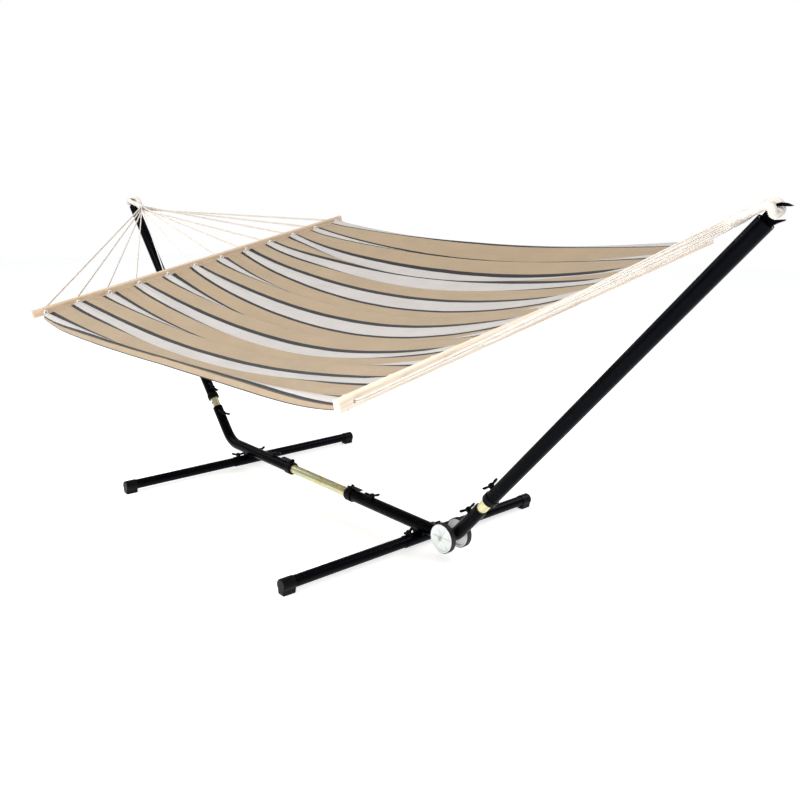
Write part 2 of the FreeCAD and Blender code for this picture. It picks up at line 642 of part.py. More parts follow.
for side, sign in SIDES.items():
    facing = Rotation(AXIS_X, 90) if sign < 0 else Z_TO_Y
    hub_place = Placement(Vector(AXLE_X, sign * size("wheel_inner_face"), AXLE_Z), facing)
    disc = turned(f"{side}_wheel_disc", [
        ("axle_diameter / 2 + running", "0"), ("wheel_boss / 2", "0"),
        ("wheel_boss / 2", "wheel_width - wheel_web - wheel_recess"),
        ("wheel_rim / 2 - wheel_bead", "wheel_width - wheel_web - wheel_recess"),
        ("wheel_rim / 2 - wheel_bead", "wheel_bevel"), ("wheel_rim / 2", "wheel_bevel"),
        ("wheel_rim / 2", "wheel_width"), ("wheel_rim / 2 - wheel_bead", "wheel_width"),
        ("wheel_rim / 2 - wheel_wall", "wheel_width - wheel_recess"),
        ("wheel_boss / 2", "wheel_width - wheel_recess"),
        ("wheel_boss / 2 - wheel_bevel", "wheel_width"),
        ("axle_diameter / 2 + running", "wheel_width"),
    ], hub_place)
    ribs = []
    rib_start = size("wheel_boss") / 2 - size("rib_root")
    rib_end = size("wheel_rim") / 2 - size("wheel_wall") + size("rib_root")
    rib_floor = size("wheel_width") - size("wheel_recess") - size("rib_root")
    for i in range(int(size("wheel_ribs"))):
        spoke = Placement(Vector(), Rotation(AXIS_Z, i * 360 / size("wheel_ribs")))
        middle = Placement(Vector((rib_start + rib_end) / 2, 0, rib_floor), Rotation())
        ribs.append(block(f"{side}_rib_{i}",
                          "wheel_rim / 2 - wheel_wall - wheel_boss / 2 + rib_root * 2", "rib_thick",
                          "wheel_recess + rib_root - rib_set_back", hub_place * spoke * middle))
    keep(joined(f"{side}_wheel", [disc, *ribs]), f"{side}_wheel_hub")
    keep(turned(f"{side}_wheel_tyre", [
        ("wheel_rim / 2 + running", "tyre_inset"),
        ("wheel_outer / 2 - tyre_bevel", "tyre_inset"), ("wheel_outer / 2", "tyre_inset + tyre_bevel"),
        ("wheel_outer / 2", "tyre_width + tyre_inset - tyre_bevel"),
        ("wheel_outer / 2 - tyre_bevel", "tyre_width + tyre_inset"),
        ("wheel_rim / 2 + running", "tyre_width + tyre_inset"),
    ], hub_place), f"{side}_wheel_tyre")

AXLE_LINE = across_base(AXLE_X, AXLE_Z)
outer_face = size("wheel_inner_face") + size("wheel_width") + size("slip")


def hexagon(name, height, placement):
    prism = doc.addObject("Part::Prism", name)
    prism.Polygon = 6
    bind(prism, "Circumradius", "axle_head / 2")
    bind(prism, "Height", height)
    prism.Placement = placement
    return prism


shank = rod("axle_shank", "axle_diameter",
            "(wheel_inner_face + wheel_width) * 2 + axle_nut_tall + axle_thread",
            AXLE_LINE * Placement(Vector(0, 0, -outer_face), Rotation()))
head = hexagon("axle_head_hexagon", "axle_head_tall",
               AXLE_LINE * Placement(Vector(0, 0, -outer_face - size("axle_head_tall")), Rotation()))
keep(joined("wheel_axle", [shank, head]), "wheel_axle")
nut_place = AXLE_LINE * Placement(Vector(0, 0, outer_face), Rotation())
nut_blank = hexagon("axle_nut_hexagon", "axle_nut_tall", nut_place)
nut_bore = rod("axle_nut_bore", "axle_diameter + running * 2", "axle_nut_tall", nut_place)
keep(minus("axle_nut", nut_blank, nut_bore), "wheel_axle_nut")
spacers = doc.addObject("Part::Compound", "axle_spacer_pair")
spacers.Links = [
    straight_tube(f"{side}_axle_spacer", "spacer_outer", "axle_diameter + axle_play",
                  "wheel_inner_face - tube_outer / 2 - slip - running",
                  Placement(Vector(AXLE_X, sign * (TUBE_RADIUS + size("running")), AXLE_Z),
                            Rotation(AXIS_X, 90) if sign < 0 else Z_TO_Y))
    for side, sign in SIDES.items()
]
keep(spacers, "axle_spacers")


# ---------------------------------------------------------------- hammock

BAR_TWIST = {"near": -size("bar_twist"), "far": size("bar_twist")}


def rolled(angle):
    """The frame of a hammock that has rolled about the line through the hooks by the angle."""
    return Placement(Vector(0, 0, HOOK_POINT.z), Rotation(AXIS_X, angle))


def along_hammock(end):
    """The frame of one end: the two bars are rolled a little differently, so the bed is twisted."""
    return rolled(size("roll_angle") + BAR_TWIST[end]) * END_TURN[end]


def hole_places():
    first = -(size("rope_holes") - 1) / 2 * size("hole_pitch")
    return [first + i * size("hole_pitch") for i in range(int(size("rope_holes")))]


def spreader_bar(end):
    """Rounded wooden bar across the hammock with a row of holes for the ropes."""
    label = f"{end}_spreader_bar"
    body = new_body(label)
    sketch = new_sketch(body, "XZ_Plane", f"{label}_section")
    middle = f"{end}_bar_place"
    add_polygon(sketch, [(f"{middle} {x} bar_thick / 2", f"-bar_drop {z} bar_tall / 2")
                         for x, z in (("-", "-"), ("+", "-"), ("+", "+"), ("-", "+"))])
    pad = add_pad(body, sketch, "bar_length", symmetric=True)
    doc.recompute()
    long_edges = [f"Edge{i}" for i, edge in enumerate(pad.Shape.Edges, start=1)
                  if edge.Length > size("bar_length") - 1]
    rounding = body.newObject("PartDesign::Fillet", f"{label}_rounding")
    rounding.Base = (pad, long_edges)
    bind(rounding, "Radius", "bar_rounding")
    body.Placement = along_hammock(end)
    middle_place = size(f"{end}_bar_place") - size("bar_thick")
    holes = [along_hammock(end) * Placement(Vector(middle_place, y, -size("bar_drop")), Z_TO_X)
             for y in hole_places()]
    return drilled(label, body, "hole_diameter", "bar_thick * 2", holes)


def rounded_wire(points, radii):
    """Straight runs through the points, with a tangent arc at each inner point."""
    edges = []
    start = points[0]
    for before, corner, after, radius in zip(points, points[1:], points[2:], radii):
        into = (corner - before).normalize()
        out = (after - corner).normalize()
        turn_angle = into.getAngle(out)
        back = radius * math.tan(turn_angle / 2)
        arc_in = corner - into * back
        arc_out = corner + out * back
        inward = (out - into).normalize()
        centre_point = corner + inward * (radius / math.cos(turn_angle / 2))
        middle = centre_point - inward * radius
        edges.append(Part.LineSegment(start, arc_in).toShape())
        edges.append(Part.Arc(arc_in, middle, arc_out).toShape())
        start = arc_out
    edges.append(Part.LineSegment(start, points[-1]).toShape())
    return Part.Wire(edges)


VOLUME_TOLERANCE = 0.02


def swept_rope(wire, diameter):
    """A round solid along the wire; its volume is checked to be its section times its length."""
    first = wire.Edges[0]
    start = first.valueAt(first.FirstParameter)
    direction = first.tangentAt(first.FirstParameter)
    section = Part.Wire(Part.makeCircle(diameter / 2, start, direction))
    solid = wire.makePipeShell([section], True, False)
    expected = math.pi * diameter ** 2 / 4 * wire.Length
    if abs(solid.Volume - expected) > expected * VOLUME_TOLERANCE:
        raise RuntimeError("a rope's volume is not its section times its length")
    return solid


EYE_CREST = Vector(-17, 0, 18)
EYE_FRONT = Vector(5.5, 0, -0.5)
THROAT_DIRECTION = Vector(-0.8807, 0, -0.4736)


def rope_eye():
    """Loop round the neck of the hook, and the whipped throat that its legs run into."""
    seat = Vector(HOOK_POINT.x, 0, 0)
    spread = AXIS_Y * size("eye_half")
    crest = seat + EYE_CREST
    front = seat + EYE_FRONT
    leg_end = crest + THROAT_DIRECTION * size("leg_length")
    close = AXIS_Y * (size("eye_rope") + size("leg_gap")) / 2
    end_bend = size("eye_half") - 1
    loop = rounded_wire([leg_end - close, crest - spread, front - spread, front + spread,
                         crest + spread, leg_end + close],
                        [size("eye_bend"), end_bend, end_bend, size("eye_bend")])
    legs = swept_rope(loop, size("eye_rope"))
    sections = []
    for place, distance in (("top", -size("throat_overlap")), ("end", size("throat_length"))):
        half_width = size(f"throat_{place}_half")
        half_height = size(f"throat_{place}_rise")
        centre_point = leg_end + THROAT_DIRECTION * distance
        ellipse = Part.Ellipse(Vector(), half_width, half_height)
        wire = Part.Wire(ellipse.toShape())
        facing = Rotation(AXIS_Y, THROAT_DIRECTION.cross(AXIS_Y), THROAT_DIRECTION, "ZXY")
        wire.Placement = Placement(centre_point, facing)
        sections.append(wire)
    throat = Part.makeLoft(sections, True, True)
    return legs.fuse(throat).removeSplitter()


def throat_end():
    distance = size("leg_length") + size("throat_length") + size("throat_margin")
    return Vector(HOOK_POINT.x, 0, 0) + EYE_CREST + THROAT_DIRECTION * distance


def rope_fan(end):
    """Two strands from each hole of the bar to the throat of the eye, in six layers there."""
    bar = size(f"{end}_bar_place")
    inner_face = bar - size("bar_thick") / 2 + size("strand_sink")
    bend_x = bar + size("bar_thick") / 2 + size("bar_clear")
    gap = size("strand_gap")
    up = AXIS_Y.cross(THROAT_DIRECTION)
    if up.z < 0:
        up = up * -1
    strands = []
    for i, y in enumerate(hole_places()):
        for strand in (0, 1):
            level = AXIS_Z * (strand - 0.5) * (gap / abs(THROAT_DIRECTION.x))
            row = up * ((i % 3) * 2 + strand - 2.5) * gap
            hole_mouth = Vector(bend_x, y, -size("bar_drop"))
            outward = (hole_mouth - throat_end()).normalize()
            points = [
                Vector(inner_face, y, -size("bar_drop")) + level,
                hole_mouth + level,
                throat_end() + outward * size("fan_start") + row,
            ]
            strands.append(swept_rope(rounded_wire(points, [size("strand_bend")]), size("strand")))
    return Part.makeCompound(strands)


def shaped(label, shape, placement):
    """A sub-part whose shape is worked out above, placed afterwards."""
    feature = doc.addObject("Part::Feature", label)
    feature.Shape = shape
    feature.Placement = placement
    return feature


def bed():
    """Fabric bed as a thin slab: an arc that sags between the bars, straight across."""
    label = "hammock_bed"
    body = new_body(label)
    sketch = new_sketch(body, "XZ_Plane", f"{label}_section")
    far_x = "(bar_thick / 2 + bed_gap - far_bar_place)"
    near_x = "(near_bar_place - bar_thick / 2 - bed_gap)"
    top = "(bed_thick / 2 - bar_drop)"
    bottom = "(0 - bed_thick / 2 - bar_drop)"
    places = {key: worth(sketch, text) for key, text in
              (("far", far_x), ("near", near_x), ("top", top), ("bottom", bottom))}
    chord = places["near"] - places["far"]
    radius = (chord ** 2 / 4 + size("bed_sag") ** 2) / (2 * size("bed_sag"))
    half_angle = math.asin(chord / 2 / radius)
    arcs = []
    for level in ("top", "bottom"):
        arc_centre = Vector((places["near"] + places["far"]) / 2,
                            places[level] + radius - size("bed_sag"), 0)
        arcs.append(sketch.addGeometry(
            Part.ArcOfCircle(Part.Circle(arc_centre, AXIS_Z, radius),
                             -math.pi / 2 - half_angle, -math.pi / 2 + half_angle), False))
    for x_text, level_end in ((far_x, 1), (near_x, 2)):
        x = worth(sketch, x_text)
        line = sketch.addGeometry(Part.LineSegment(Vector(x, places["top"], 0),
                                                   Vector(x, places["bottom"], 0)), False)
        sketch.addConstraint(Sketcher.Constraint("Coincident", line, 1, arcs[0], level_end))
        sketch.addConstraint(Sketcher.Constraint("Coincident", line, 2, arcs[1], level_end))
        pin_point(sketch, line, 1, x_text, top)
        pin_point(sketch, line, 2, x_text, bottom)
    chord_text = f"({near_x} - {far_x})"
    for arc in arcs:
        datum = sketch.addConstraint(Sketcher.Constraint("Radius", arc, radius))
        bind(sketch, f"Constraints[{datum}]",
             f"({chord_text} * {chord_text} / 4 + bed_sag * bed_sag) / (2 * bed_sag)")
    add_pad(body, sketch, "bed_width", symmetric=True)
    body.Placement = rolled(size("roll_angle"))
    return body


for end in ENDS:
    keep(spreader_bar(end), f"{end}_spreader_bar")
    keep(shaped(f"{end}_ropes", rope_fan(end), along_hammock(end)), f"{end}_ropes")
    keep(shaped(f"{end}_rope_eye", rope_eye(), along_hammock(end)), f"{end}_rope_eye")
keep(bed(), "hammock_bed")


# ---------------------------------------------------------------- checks and files

doc.recompute()
for obj in doc.Objects:
    if "Invalid" in obj.State or "Error" in obj.State:
        raise RuntimeError(f"{obj.Name} failed: {obj.State}")

os.makedirs("parts", exist_ok=True)
for obj in sub_parts:
    shape = obj.Shape
    if shape.isNull() or not shape.isValid():
        raise RuntimeError(f"{obj.Label} has no valid shape")
    shape.exportStep(f"parts/{obj.Label}.step")
    box = shape.BoundBox
    print(f"{obj.Label}: {len(shape.Solids)} solid(s), {shape.Volume / 1000:.1f} cm3, "
          f"x {box.XMin:.1f}..{box.XMax:.1f} y {box.YMin:.1f}..{box.YMax:.1f} "
          f"z {box.ZMin:.1f}..{box.ZMax:.1f}")
print(len(sub_parts), "sub-parts")
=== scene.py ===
"""Looks of the hammock on its stand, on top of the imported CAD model.

Metres, +Z up, +X towards the wheels ("near" end). The hammock is drawn in its own frame, whose
origin is on the line through the two hooks and whose X runs along that line, and is then rolled.
"""
import bpy
import json
import math
import numpy as np
from mathutils import Matrix, Vector


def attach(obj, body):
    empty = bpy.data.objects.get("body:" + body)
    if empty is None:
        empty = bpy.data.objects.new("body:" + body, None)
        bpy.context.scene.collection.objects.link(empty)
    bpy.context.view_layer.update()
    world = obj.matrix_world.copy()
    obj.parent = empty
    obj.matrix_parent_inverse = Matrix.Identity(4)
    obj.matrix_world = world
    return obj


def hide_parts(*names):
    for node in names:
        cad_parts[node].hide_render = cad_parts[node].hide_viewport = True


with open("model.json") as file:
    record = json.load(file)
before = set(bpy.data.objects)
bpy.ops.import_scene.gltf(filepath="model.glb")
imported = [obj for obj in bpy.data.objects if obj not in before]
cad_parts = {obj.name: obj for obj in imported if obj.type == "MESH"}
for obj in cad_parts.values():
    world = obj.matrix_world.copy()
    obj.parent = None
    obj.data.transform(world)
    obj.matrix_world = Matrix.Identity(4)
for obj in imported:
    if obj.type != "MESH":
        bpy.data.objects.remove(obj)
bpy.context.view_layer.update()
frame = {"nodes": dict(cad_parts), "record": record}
record = frame["record"]
nodes = frame["nodes"]

MOUNTS = {mount["name"]: Vector(mount["pos_m"]) for mount in record["mounts"]}
HOOK = MOUNTS["near_hook_seat"]
ROLL = math.radians(12.8)
TWIST = {"near": -math.radians(0.9), "far": math.radians(0.9)}
END_TURN = {"near": Matrix.Identity(4), "far": Matrix.Rotation(math.pi, 4, "Z")}
TAU = 2 * math.pi

# hammock sizes, as in the CAD
BAR_PLACE = {"near": 0.998, "far": 0.942}
BAR_THICK = 0.022
BAR_DROP = 0.250
BED_GAP = 0.003
BED_DROP = 0.006
HOLES = 12
HOLE_PITCH = 0.132


def rolled(angle):
    """The frame of a hammock rolled by the angle about the line through the hooks."""
    return Matrix.Translation((0, 0, HOOK.z)) @ Matrix.Rotation(angle, 4, "X")


# ---------------------------------------------------------------- camera, floor and light

def make_camera():
    place = Vector((2.26004, -1.65998, 1.07107))
    yaw, pitch, tilt = (math.radians(a) for a in (48.005, 13.726, 0.905))
    forward = Vector((-math.sin(yaw) * math.cos(pitch), math.cos(yaw) * math.cos(pitch),
                      -math.sin(pitch)))
    level_right = forward.cross(Vector((0, 0, 1))).normalized()
    level_up = level_right.cross(forward)
    right = level_right * math.cos(tilt) + level_up * math.sin(tilt)
    up = level_up * math.cos(tilt) - level_right * math.sin(tilt)
    data = bpy.data.cameras.new("camera")
    data.sensor_width = 36
    data.lens = 35.561
    data.clip_end = 60
    camera = bpy.data.objects.new("camera", data)
    axes = Matrix((right, up, -forward)).transposed()
    camera.matrix_world = Matrix.Translation(place) @ axes.to_4x4()
    bpy.context.scene.collection.objects.link(camera)
    bpy.context.scene.camera = camera


def area_light(name, place, target, size, power, colour=(1, 1, 1)):
    data = bpy.data.lights.new(name, "AREA")
    data.shape = "RECTANGLE"
    data.size, data.size_y = size
    data.energy = power
    data.color = colour
    lamp = bpy.data.objects.new(name, data)
    lamp.location = place
    lamp.rotation_euler = (Vector(target) - Vector(place)).to_track_quat("-Z", "Y").to_euler()
    bpy.context.scene.collection.objects.link(lamp)


def make_light():
    """White seen behind the object, a softer and dimmer white that lights it, and four lamps."""
    world = bpy.data.worlds.new("studio")
    world.use_nodes = True
    tree = world.node_tree
    seen = tree.nodes["Background"]
    seen.inputs["Color"].default_value = (1, 1, 1, 1)
    seen.inputs["Strength"].default_value = 1.0
    ambient = tree.nodes.new("ShaderNodeBackground")
    ambient.inputs["Color"].default_value = (0.97, 0.98, 1, 1)
    ambient.inputs["Strength"].default_value = 0.42
    rays = tree.nodes.new("ShaderNodeLightPath")
    choice = tree.nodes.new("ShaderNodeMixShader")
    tree.links.new(rays.outputs["Is Camera Ray"], choice.inputs["Fac"])
    tree.links.new(ambient.outputs[0], choice.inputs[1])
    tree.links.new(seen.outputs[0], choice.inputs[2])
    tree.links.new(choice.outputs[0], tree.nodes["World Output"].inputs["Surface"])
    bpy.context.scene.world = world
    area_light("key", (0.2, -3.2, 4.4), (0, 0, 0.6), (1.3, 1.0), 205)
    area_light("fill", (-3.4, -1.6, 3.2), (0, 0, 0.5), (2.0, 2.0), 40)
    area_light("rim", (1.8, 3.4, 3.2), (0, 0, 0.5), (2.6, 1.2), 60, (0.93, 0.96, 1.0))
    area_light("front", (2.6, -2.7, 1.5), (0.4, 0, 0.3), (1.4, 1.0), 34)
    bpy.context.scene.view_settings.view_transform = "Standard"


# ---------------------------------------------------------------- materials

class Paint:
    """One node-based material; short calls add nodes and return their output sockets."""

    def __init__(self, name, slot):
        self.material = bpy.data.materials.new(name)
        self.material["slot"] = slot
        self.material.use_nodes = True
        self.tree = self.material.node_tree
        self.tree.nodes.clear()
        output = self.tree.nodes.new("ShaderNodeOutputMaterial")
        self.shader = self.tree.nodes.new("ShaderNodeBsdfPrincipled")
        self.tree.links.new(self.shader.outputs["BSDF"], output.inputs["Surface"])
        self.places = self.tree.nodes.new("ShaderNodeTexCoord")

    def put(self, socket, value):
        if isinstance(value, bpy.types.NodeSocket):
            self.tree.links.new(value, socket)
        elif isinstance(value, tuple) and len(value) == 3 and socket.type == "RGBA":
            socket.default_value = (*value, 1)
        else:
            socket.default_value = value

    def node(self, kind, output, settings=None, **values):
        made = self.tree.nodes.new(kind)
        for name, value in (settings or {}).items():
            setattr(made, name, value)
        for name, value in values.items():
            self.put(made.inputs[name.replace("_", " ")], value)
        return made.outputs[output]

    def shade(self, **values):
        for name, value in values.items():
            self.put(self.shader.inputs[name.replace("_", " ")], value)

    def object_place(self, scale=(1, 1, 1), turn=(0, 0, 0)):
        turned = self.node("ShaderNodeMapping", 0, Vector=self.places.outputs["Object"],
                           Rotation=turn)
        return self.node("ShaderNodeMapping", 0, Vector=turned, Scale=scale)

    def noise(self, scale, detail=2.0, roughness=0.5, place=None, distortion=0.0):
        return self.node("ShaderNodeTexNoise", 0, Vector=place or self.places.outputs["Object"],
                         Scale=scale, Detail=detail, Roughness=roughness, Distortion=distortion)

    def calc(self, operation, first, second=0.0, third=0.0, clamp=False):
        made = self.tree.nodes.new("ShaderNodeMath")
        made.operation = operation
        made.use_clamp = clamp
        for socket, value in zip(made.inputs, (first, second, third)):
            self.put(socket, value)
        return made.outputs[0]

    def ramp(self, factor, stops, interpolation="LINEAR"):
        made = self.tree.nodes.new("ShaderNodeValToRGB")
        made.color_ramp.interpolation = interpolation
        elements = made.color_ramp.elements
        while len(elements) < len(stops):
            elements.new(1.0)
        for element, (place, colour) in zip(elements, stops):
            element.position = place
            element.color = (*colour, 1)
        self.put(made.inputs["Fac"], factor)
        return made.outputs["Color"]

    def mix(self, factor, first, second, blend="MIX"):
        made = self.tree.nodes.new("ShaderNodeMix")
        made.data_type = "RGBA"
        made.blend_type = blend
        self.put(made.inputs[0], factor)
        self.put(made.inputs[6], first)
        self.put(made.inputs[7], second)
        return made.outputs[2]

    def level(self, factor, low, high, out_low=0.0, out_high=1.0):
        made = self.tree.nodes.new("ShaderNodeMapRange")
        for socket, value in zip(made.inputs, (factor, low, high, out_low, out_high)):
            self.put(socket, value)
        return made.outputs[0]

    def bump(self, height, strength, distance, below=None):
        made = self.tree.nodes.new("ShaderNodeBump")
        made.inputs["Strength"].default_value = strength
        made.inputs["Distance"].default_value = distance
        self.put(made.inputs["Height"], height)
        if below is not None:
            self.put(made.inputs["Normal"], below)
        return made.outputs["Normal"]


def powder_coat():
    """Satin black powder coat: fine orange peel and a faint unevenness in its gloss."""
    p = Paint("powder_coat", "frame_steel")
    cloud = p.noise(9, 3)
    peel = p.noise(900, 2)
    p.shade(Base_Color=p.ramp(cloud, [(0.3, (0.0006, 0.0007, 0.0011)),
                                     (0.7, (0.0012, 0.0013, 0.0020))]),
            Roughness=p.level(p.noise(45, 3), 0.3, 0.7, 0.24, 0.32),
            Specular_IOR_Level=0.05, Specular_Tint=(0.72, 0.80, 1.0),
            Normal=p.bump(peel, 0.05, 0.0004))
    return p.material


def yellow_zinc():
    """Yellow-green passivated zinc with drifting tints and fine drawing lines."""
    p = Paint("yellow_zinc", "zinc_steel")
    tint = p.noise(16, 4, 0.6, distortion=0.6)
    colour = p.ramp(tint, [(0.30, (0.60, 0.56, 0.26)), (0.48, (0.74, 0.69, 0.40)),
                           (0.60, (0.60, 0.66, 0.42)), (0.74, (0.72, 0.58, 0.40))])
    drawn = p.noise(1.0, 3, 0.6, place=p.object_place((12, 900, 900)))
    p.shade(Base_Color=colour, Metallic=0.9,
            Roughness=p.level(drawn, 0.3, 0.7, 0.22, 0.40),
            Normal=p.bump(drawn, 0.10, 0.0003))
    return p.material


def bright_zinc():
    p = Paint("bright_zinc", "axle_steel")
    grain = p.noise(420, 3)
    p.shade(Base_Color=p.ramp(p.noise(60, 3), [(0.3, (0.52, 0.53, 0.55)), (0.7, (0.74, 0.74, 0.73))]),
            Metallic=1.0, Roughness=p.level(grain, 0.3, 0.7, 0.22, 0.38),
            Normal=p.bump(grain, 0.12, 0.0003))
    return p.material


def moulded_black():
    """Black moulded plastic with a fine spark-eroded grain."""
    p = Paint("moulded_black", "black_plastic")
    grain = p.noise(1500, 2)
    p.shade(Base_Color=p.ramp(p.noise(25, 3), [(0.3, (0.0016, 0.0016, 0.0018)),
                                             (0.7, (0.0032, 0.0032, 0.0036))]),
            Specular_IOR_Level=0.08,
            Roughness=p.level(p.noise(70, 2), 0.3, 0.7, 0.34, 0.46),
            Normal=p.bump(grain, 0.22, 0.0005))
    return p.material


def wheel_nylon():
    p = Paint("wheel_nylon", "wheel_plastic")
    p.shade(Base_Color=p.ramp(p.noise(30, 4), [(0.3, (0.88, 0.92, 0.91)), (0.7, (0.94, 0.96, 0.95))]),
            Roughness=p.level(p.noise(120, 2), 0.3, 0.7, 0.34, 0.46),
            Subsurface_Weight=0.15, Subsurface_Scale=0.01,
            Normal=p.bump(p.noise(700, 2), 0.10, 0.0004))
    return p.material


def tyre_rubber():
    p = Paint("tyre_rubber", "tyre_rubber")
    dust = p.noise(50, 4, 0.6)
    p.shade(Base_Color=p.ramp(dust, [(0.4, (0.0030, 0.0030, 0.0033)),
                                    (0.75, (0.0075, 0.0073, 0.0070))]),
            Roughness=p.level(dust, 0.3, 0.7, 0.55, 0.75),
            Normal=p.bump(p.noise(900, 3), 0.30, 0.0006))
    return p.material


def pine(name, cast):
    """Planed pine along the bar: soft growth lines, fine pores and a faint rosy tint."""
    p = Paint(name, "bar_wood")
    turn = (-ROLL, 0, 0)
    rings = p.noise(1.0, 3, 0.55, place=p.object_place((75, 2.2, 75), turn), distortion=0.5)
    fibre = p.noise(1.0, 4, 0.6, place=p.object_place((900, 14, 900), turn))
    patch = p.noise(1.0, 2, 0.5, place=p.object_place((9, 3.5, 9), turn))
    pale = p.ramp(rings, [(0.30, (0.68, 0.58, 0.44)), (0.47, (0.72, 0.63, 0.50)),
                          (0.56, (0.61, 0.49, 0.35)), (0.62, (0.70, 0.60, 0.47))])
    rosy = p.mix(p.level(patch, 0.35, 0.7, 0.0, 0.35), pale, (0.66, 0.51, 0.41))
    grained = p.mix(p.level(fibre, 0.45, 0.75, 0.0, 0.30), rosy, (0.50, 0.38, 0.26))
    # the multiplier lightens or darkens the whole bar: painted light on the near bar's pine, painted
    # shade on the far bar's copy
    colour = p.mix(1.0, grained, cast, "MULTIPLY")
    p.shade(Base_Color=colour, Roughness=p.level(fibre, 0.3, 0.7, 0.50, 0.66),
            Normal=p.bump(fibre, 0.22, 0.0005))
    return p.material


def cotton_cord(name, cast):
    """Soft twisted cotton: slight fluff, tiny colour changes from yarn to yarn."""
    p = Paint(name, "rope_cotton")
    yarn = p.noise(700, 3, 0.6)
    colour = p.ramp(p.noise(55, 4, 0.6), [(0.3, tuple(0.84 * c for c in cast)), (0.7, cast)])
    p.shade(Base_Color=p.mix(p.level(yarn, 0.4, 0.7, 0.0, 0.25), colour, (0.58, 0.50, 0.42)),
            Roughness=0.92, Sheen_Weight=0.35, Sheen_Roughness=0.5,
            Normal=p.bump(yarn, 0.35, 0.0006))
    return p.material


# Stripe widths across the cloth, in metres, from the front edge towards the back.
STRIPE_WHITE = 0.058
STRIPE_THICK = 0.0165
STRIPE_TAN = 0.0635
STRIPE_THIN = 0.0115
CLOTH_PITCH = STRIPE_WHITE + STRIPE_THICK + STRIPE_TAN + STRIPE_THIN
FIRST_HOLE = 0.060
LAST_MARGIN = 0.040
CUT_WIDTH = FIRST_HOLE + (HOLES - 1) * CLOTH_PITCH + LAST_MARGIN
CUT_LENGTH = 1.96
HEM = 0.042
SIDE_HEM = 0.022
STITCH = 0.0042
YARN = 0.0011


def canvas():
    """Woven cotton: lengthwise stripes, plain weave, melange yarns, hems with stitched seams."""
    p = Paint("striped_canvas", "bed_fabric")
    split = p.tree.nodes.new("ShaderNodeSeparateXYZ")
    uv = p.node("ShaderNodeUVMap", 0, {"uv_map": "cloth"})
    p.put(split.inputs[0], uv)
    along, across = split.outputs[0], split.outputs[1]
    wander = p.noise(1.0, 2, 0.5, place=p.node("ShaderNodeMapping", 0, Vector=uv, Scale=(9, 25, 1)))
    straight = p.calc("ADD", across, p.level(wander, 0.3, 0.7, -0.0006, 0.0006))
    start = FIRST_HOLE - STRIPE_WHITE / 2
    turns = p.calc("DIVIDE", p.calc("SUBTRACT", straight, start - CLOTH_PITCH * 2), CLOTH_PITCH)
    phase = p.calc("FRACT", turns)
    white, tan, black = (0.49, 0.460, 0.435), (0.37, 0.275, 0.172), (0.002, 0.003, 0.005)
    edge = STRIPE_WHITE / CLOTH_PITCH
    colour = p.ramp(phase, [
        (0.0, white), (edge, black), (edge + STRIPE_THICK / CLOTH_PITCH, tan),
        (1 - STRIPE_THIN / CLOTH_PITCH, black)], "CONSTANT")
    # the border in front of the first stripe is tan, inside a thin black line along each long edge
    inner = p.calc("MULTIPLY", p.calc("GREATER_THAN", across, 0.006),
                   p.calc("LESS_THAN", across, FIRST_HOLE - STRIPE_WHITE / 2 - STRIPE_THIN))
    colour = p.mix(inner, colour, tan)
    rim = p.calc("LESS_THAN", p.calc("MINIMUM", across, p.calc("SUBTRACT", CUT_WIDTH, across)), 0.003)
    colour = p.mix(rim, colour, black)
    warp = p.noise(1.0, 2, 0.5, place=p.node("ShaderNodeMapping", 0, Vector=uv, Scale=(6, 1500, 1)))
    weft = p.noise(1.0, 2, 0.5, place=p.node("ShaderNodeMapping", 0, Vector=uv, Scale=(1500, 6, 1)))
    melange = p.calc("MULTIPLY", p.level(warp, 0.25, 0.75, 0.88, 1.10),
                     p.level(weft, 0.25, 0.75, 0.92, 1.07))
    cloud = p.level(p.noise(1.0, 4, 0.6, place=p.node("ShaderNodeMapping", 0, Vector=uv,
                                                     Scale=(5, 12, 1))), 0.3, 0.7, 0.93, 1.05)
    tone = p.calc("MULTIPLY", melange, cloud)
    grey = p.node("ShaderNodeCombineColor", 0, Red=tone, Green=tone, Blue=tone)
    colour = p.mix(1.0, colour, grey, "MULTIPLY")
    # seams: one across each end where the hem is sewn down, one beside each long edge
    from_end = p.calc("MINIMUM", along, p.calc("SUBTRACT", CUT_LENGTH, along))
    from_side = p.calc("MINIMUM", across, p.calc("SUBTRACT", CUT_WIDTH, across))
    end_seam = p.calc("ABSOLUTE", p.calc("SUBTRACT", from_end, HEM))
    side_seam = p.calc("ABSOLUTE", p.calc("SUBTRACT", from_side, SIDE_HEM))
    seam = p.calc("MINIMUM", end_seam, side_seam)
    stitch = p.calc("LESS_THAN", seam, 0.0009)
    pace = p.calc("SINE", p.calc("MULTIPLY", p.calc("ADD", along, across), TAU / STITCH))
    thread = p.calc("MULTIPLY", stitch, p.calc("GREATER_THAN", pace, -0.2))
    colour = p.mix(p.calc("MULTIPLY", thread, 0.55), colour, (0.30, 0.22, 0.14))
    doubled = p.calc("MAXIMUM", p.calc("LESS_THAN", from_end, HEM),
                     p.calc("LESS_THAN", from_side, SIDE_HEM))
    groove = p.level(seam, 0.0, 0.004, -1.0, 0.0)
    weave = p.calc("MULTIPLY", p.calc("SINE", p.calc("MULTIPLY", across, TAU / YARN)),
                   p.calc("SINE", p.calc("MULTIPLY", along, TAU / YARN)))
    pucker = p.noise(1.0, 3, 0.6, place=p.node("ShaderNodeMapping", 0, Vector=uv, Scale=(28, 60, 1)))
    soft = p.bump(p.calc("ADD", p.calc("ADD", p.calc("MULTIPLY", doubled, 0.5), groove),
                         p.calc("MULTIPLY", pucker, 1.2)), 0.5, 0.0016)
    p.shade(Base_Color=colour, Roughness=p.level(warp, 0.3, 0.7, 0.80, 0.94),
            Sheen_Weight=0.12, Sheen_Roughness=0.6,
            Normal=p.bump(weave, 0.35, 0.0005, soft))
    return p.material


